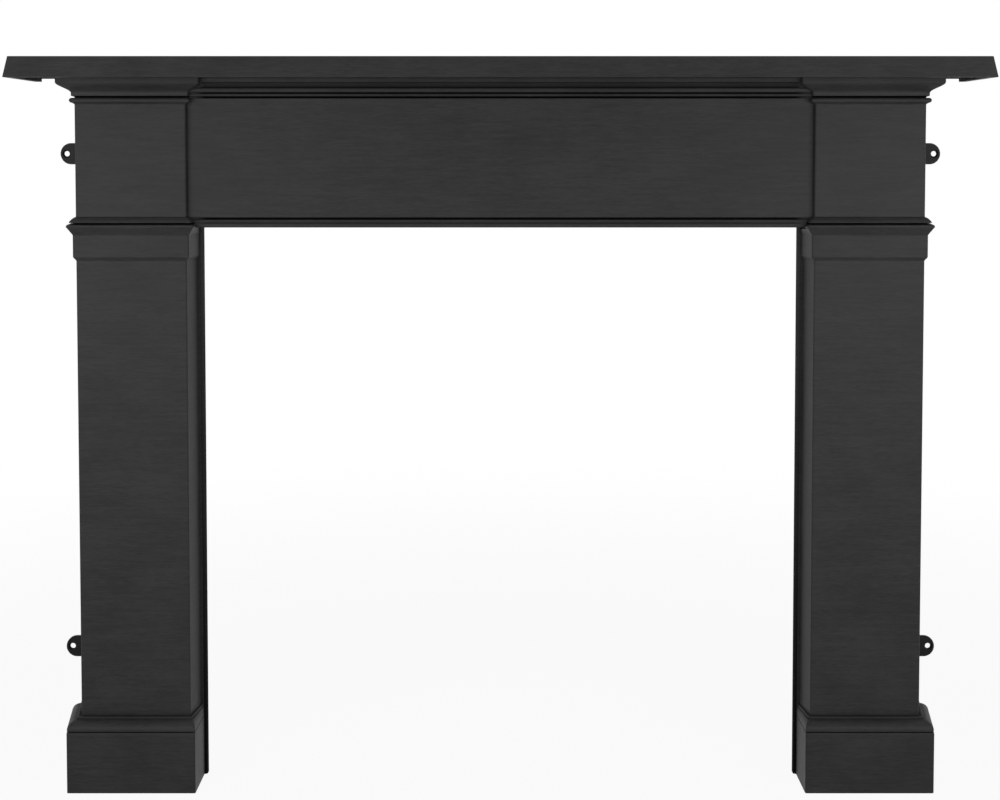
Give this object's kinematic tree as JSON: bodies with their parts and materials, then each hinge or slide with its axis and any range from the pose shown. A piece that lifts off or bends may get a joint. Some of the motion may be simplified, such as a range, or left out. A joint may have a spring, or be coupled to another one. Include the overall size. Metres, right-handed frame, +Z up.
{
  "type": "cast iron fireplace surround",
  "caption": "Black cast iron fireplace surround with a plain mantel shelf, panelled header, pilaster legs with moulded crowns, capitals and plinths, bolted together and fixed to a wall through small lugs",
  "frame": {"origin": "on the floor, at the middle of the shelf's width and depth, so the origin is the bottom centre of the bounding box", "axes": "+X runs along the shelf to the right as seen from the front, +Y runs back to the wall, +Z is up, and the front faces -Y"},
  "size_m": [1.55, 0.205, 1.2],
  "materials": {
    "cast_iron_black": "satin black paint over a fine sand-cast skin",
    "lug_black": "darker, smoother satin black on thin steel lugs",
    "fastener_zinc": "dull zinc-plated steel"
  },
  "bodies": {
    "root": {"shelf": "cast_iron_black", "header": "cast_iron_black", "left_leg": "cast_iron_black", "right_leg": "cast_iron_black", "left_header_shelf_bolt": "fastener_zinc", "left_header_shelf_washer": "fastener_zinc", "left_leg_shelf_bolt": "fastener_zinc", "left_leg_shelf_washer": "fastener_zinc", "left_lower_header_bolt": "fastener_zinc", "left_lower_header_washer": "fastener_zinc", "left_lower_lug_screw": "fastener_zinc", "left_lower_lug_washer": "fastener_zinc", "left_lower_wall_lug": "lug_black", "left_upper_header_bolt": "fastener_zinc", "left_upper_header_washer": "fastener_zinc", "left_upper_lug_screw": "fastener_zinc", "left_upper_lug_washer": "fastener_zinc", "left_upper_wall_lug": "lug_black", "right_header_shelf_bolt": "fastener_zinc", "right_header_shelf_washer": "fastener_zinc", "right_leg_shelf_bolt": "fastener_zinc", "right_leg_shelf_washer": "fastener_zinc", "right_lower_header_bolt": "fastener_zinc", "right_lower_header_washer": "fastener_zinc", "right_lower_lug_screw": "fastener_zinc", "right_lower_lug_washer": "fastener_zinc", "right_lower_wall_lug": "lug_black", "right_upper_header_bolt": "fastener_zinc", "right_upper_header_washer": "fastener_zinc", "right_upper_lug_screw": "fastener_zinc", "right_upper_lug_washer": "fastener_zinc", "right_upper_wall_lug": "lug_black"}
  },
  "joints": []
}
